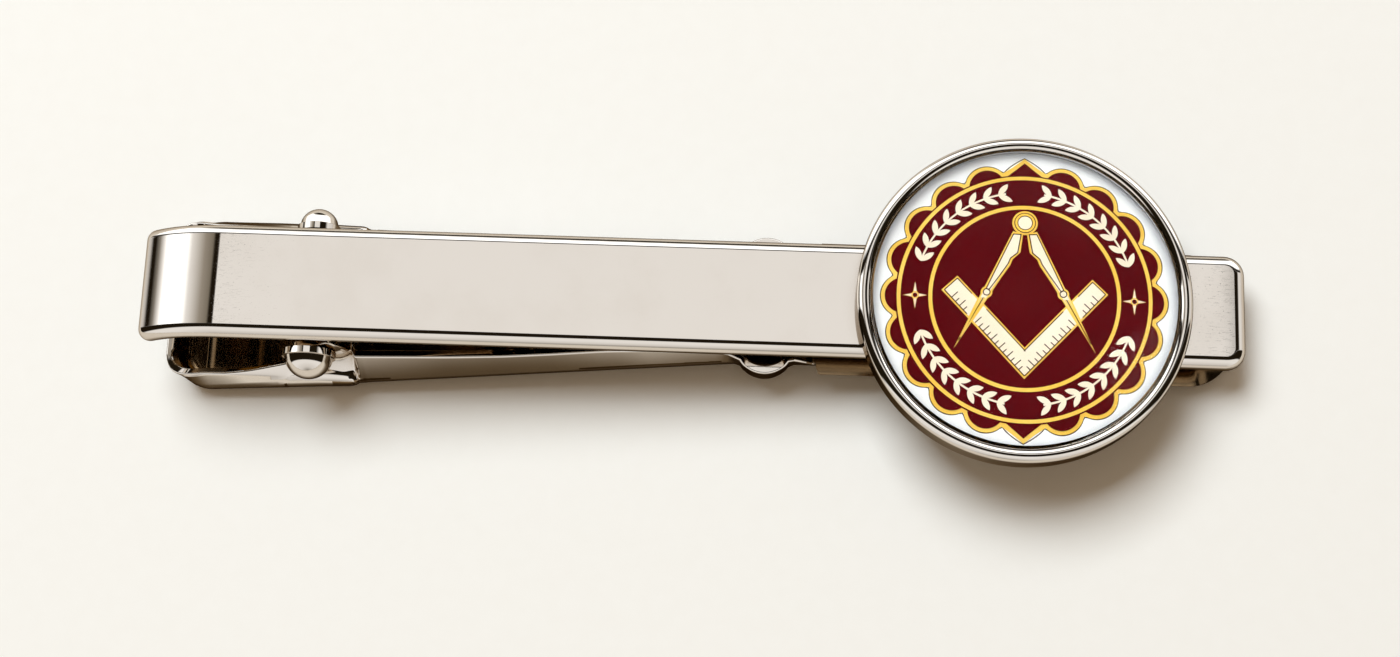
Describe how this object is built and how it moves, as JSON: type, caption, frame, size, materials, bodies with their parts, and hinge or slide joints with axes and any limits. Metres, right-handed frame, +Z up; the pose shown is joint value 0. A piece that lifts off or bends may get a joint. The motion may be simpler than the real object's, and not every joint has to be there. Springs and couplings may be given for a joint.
{
  "type": "tie clip",
  "caption": "Polished tie clip: a flat bar with a curled end, a glass-domed round medallion and a sprung gripping lever behind it.",
  "frame": {"origin": "on the table, below the middle of the clip's box, the clip lying on its lever with its face up", "axes": "+X along the bar to the medallion, +Y across the bar to its far edge, +Z up out of the face"},
  "size_m": [0.06, 0.0178, 0.0068],
  "materials": {
    "polished_plate": "mirror-polished nickel plate on brass",
    "spring_steel": "plain spring strip",
    "clear_glass": "clear polished dome",
    "white_print": "printed white ground",
    "gold_ink": "printed gold-yellow lines",
    "maroon_ink": "printed deep maroon",
    "cream_ink": "printed cream"
  },
  "bodies": {
    "front": {"front_bar": "polished_plate", "glass_cabochon": "clear_glass", "printed_disc": "white_print", "emblem_gold_border": "gold_ink", "emblem_maroon_field": "maroon_ink", "emblem_gold_lines": "gold_ink", "emblem_cream_fill": "cream_ink", "lever_spring": "spring_steel"},
    "lever": {"clip_lever": "polished_plate", "hinge_pin": "polished_plate"}
  },
  "joints": [
    {"name": "lever_hinge", "type": "hinge", "parent": "front", "child": "lever", "pos_m": [-0.02062, 0, 0.00411], "axis": [0, 1, 0], "range_deg": [0, 12], "stiffness_Nm_per_rad": 0.04, "springref_deg": -28.65, "deforming": ["lever_spring"]}
  ]
}
